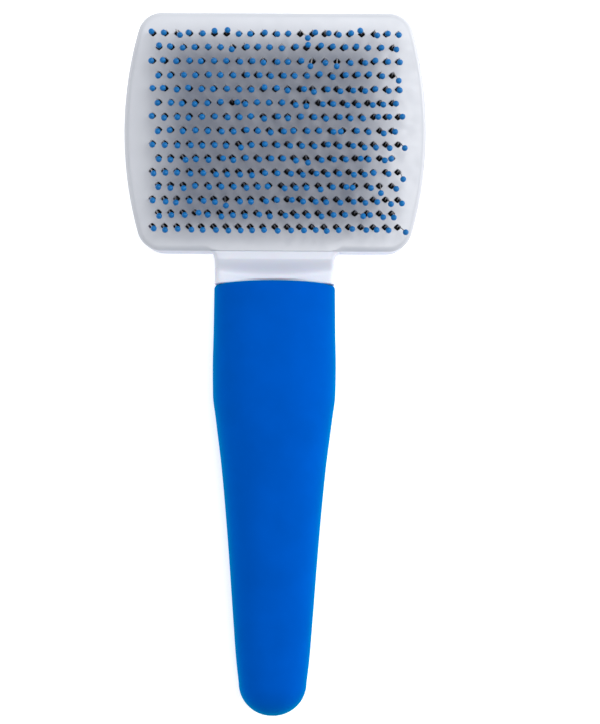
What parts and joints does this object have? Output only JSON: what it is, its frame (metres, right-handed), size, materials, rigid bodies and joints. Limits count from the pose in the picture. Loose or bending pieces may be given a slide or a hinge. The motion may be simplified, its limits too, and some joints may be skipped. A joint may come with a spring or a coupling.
{
  "type": "slicker brush",
  "caption": "Pet grooming brush: ball-tipped wire pins stand on a sliding carriage and draw back through a perforated face plate, with a push plate, a latch and a soft grip.",
  "frame": {"origin": "centre of the bounding box at its lowest height, where the brush lies on its back", "axes": "+X across the head, +Y from the grip to the head, +Z along the pins"},
  "size_m": [0.086, 0.2018, 0.031],
  "materials": {
    "white_plastic": "satin white plastic with a cool tint",
    "face_plastic": "smooth milky white plastic",
    "grip_rubber": "soft-touch matt blue rubber",
    "pin_pad": "dark flexible rubber pad set with steel wires",
    "pin_tips": "smooth blue dipped ball tips",
    "blue_plastic": "satin blue plastic",
    "grey_plastic": "plain grey moulded plastic",
    "steel": "bright steel wire and screws"
  },
  "bodies": {
    "housing": {"rear_shell": "white_plastic", "front_shell": "white_plastic", "face_plate": "face_plastic", "grip_sleeve": "grip_rubber", "head_screw_1": "steel", "head_screw_2": "steel", "neck_screw_1": "steel", "neck_screw_2": "steel", "handle_screw_1": "steel", "handle_screw_2": "steel", "guide_post_1": "steel", "guide_post_2": "steel", "guide_post_3": "steel", "guide_post_4": "steel", "return_spring_1": "steel", "return_spring_2": "steel", "return_spring_3": "steel", "return_spring_4": "steel", "latch_spring": "steel"},
    "carriage": {"pin_row_01": "pin_pad", "pin_row_02": "pin_pad", "pin_row_03": "pin_pad", "pin_row_04": "pin_pad", "pin_row_05": "pin_pad", "pin_row_06": "pin_pad", "pin_row_07": "pin_pad", "pin_row_08": "pin_pad", "pin_row_09": "pin_pad", "pin_row_10": "pin_pad", "pin_row_11": "pin_pad", "pin_row_12": "pin_pad", "pin_row_13": "pin_pad", "pin_row_14": "pin_pad", "pin_row_15": "pin_pad", "pin_tray": "grey_plastic", "push_plate": "blue_plastic", "tray_screw_1": "steel", "tray_screw_2": "steel", "tray_screw_3": "steel", "tray_screw_4": "steel"},
    "release_button": {"release_button": "blue_plastic"},
    "latch_bolt": {"latch_bolt": "grey_plastic"}
  },
  "joints": [
    {"name": "carriage_slide", "type": "slide", "parent": "housing", "child": "carriage", "axis": [0, 0, 1], "range_m": [-0.007, 0], "deforming": ["return_spring_1", "return_spring_2", "return_spring_3", "return_spring_4"]},
    {"name": "button_press", "type": "slide", "parent": "housing", "child": "release_button", "axis": [0, 0, 1], "range_m": [0, 0.002], "stiffness_N_per_m": 500, "springref_m": -0.003},
    {"name": "bolt_slide", "type": "slide", "parent": "housing", "child": "latch_bolt", "axis": [0, -1, 0], "range_m": [0, 0.002], "deforming": ["latch_spring"]}
  ],
  "couplings": [
    {"joint": "bolt_slide", "follows": "button_press", "ratio": 1}
  ]
}
